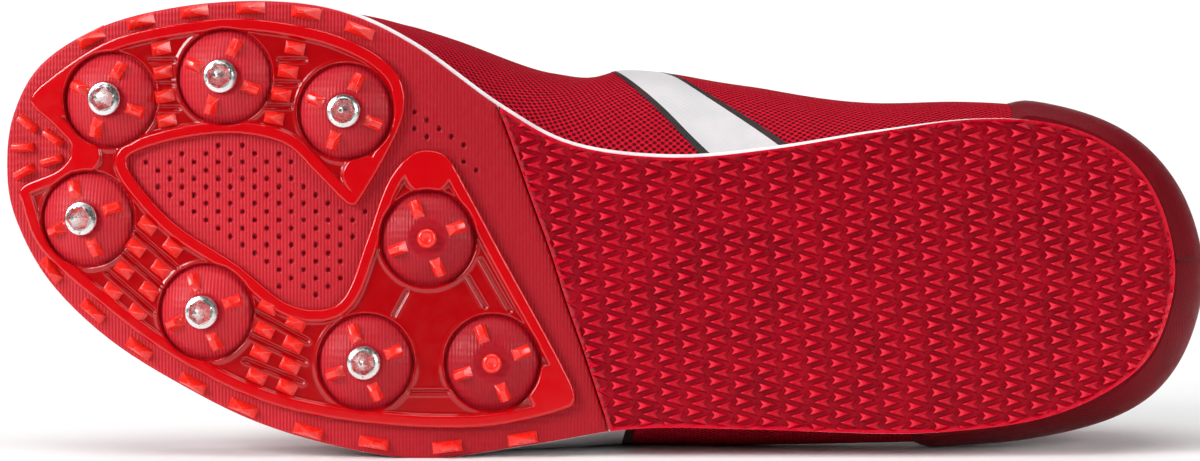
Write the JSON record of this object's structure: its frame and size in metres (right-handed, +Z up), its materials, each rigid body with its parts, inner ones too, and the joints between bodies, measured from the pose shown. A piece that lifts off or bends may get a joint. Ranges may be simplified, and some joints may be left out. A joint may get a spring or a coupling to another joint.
{
  "type": "track spike shoe",
  "caption": "Sprint track spike shoe lying on its side, with a ribbed forefoot plate, screwed-in pins, a raised traction frame and a studded heel",
  "frame": {"origin": "on the floor under the middle of the shoe's box, as it lies on its outer side", "axes": "+X from the toe to the heel, +Z up, -Y the way that the sole faces"},
  "size_m": [0.2852, 0.096, 0.107],
  "materials": {
    "mesh": "open knitted mesh, matte",
    "film": "thin satin film",
    "lining": "soft woven lining",
    "lace": "woven cord",
    "foam": "moulded foam, matte, as light as padding",
    "rubber": "fine moulded tread",
    "plate": "finely ribbed, satin",
    "gloss": "glossy moulding",
    "steel": "turned steel"
  },
  "bodies": {
    "root": {"upper": "mesh", "heel_counter": "film", "eyestay": "film", "tongue": "lining", "laces": "lace", "insole": "lining", "midsole": "foam", "heel_outsole": "rubber", "spike_plate": "plate", "traction_frame": "gloss", "spike_1": "steel", "spike_2": "steel", "spike_3": "steel", "spike_4": "steel", "spike_5": "steel", "spike_6": "steel"}
  },
  "joints": []
}
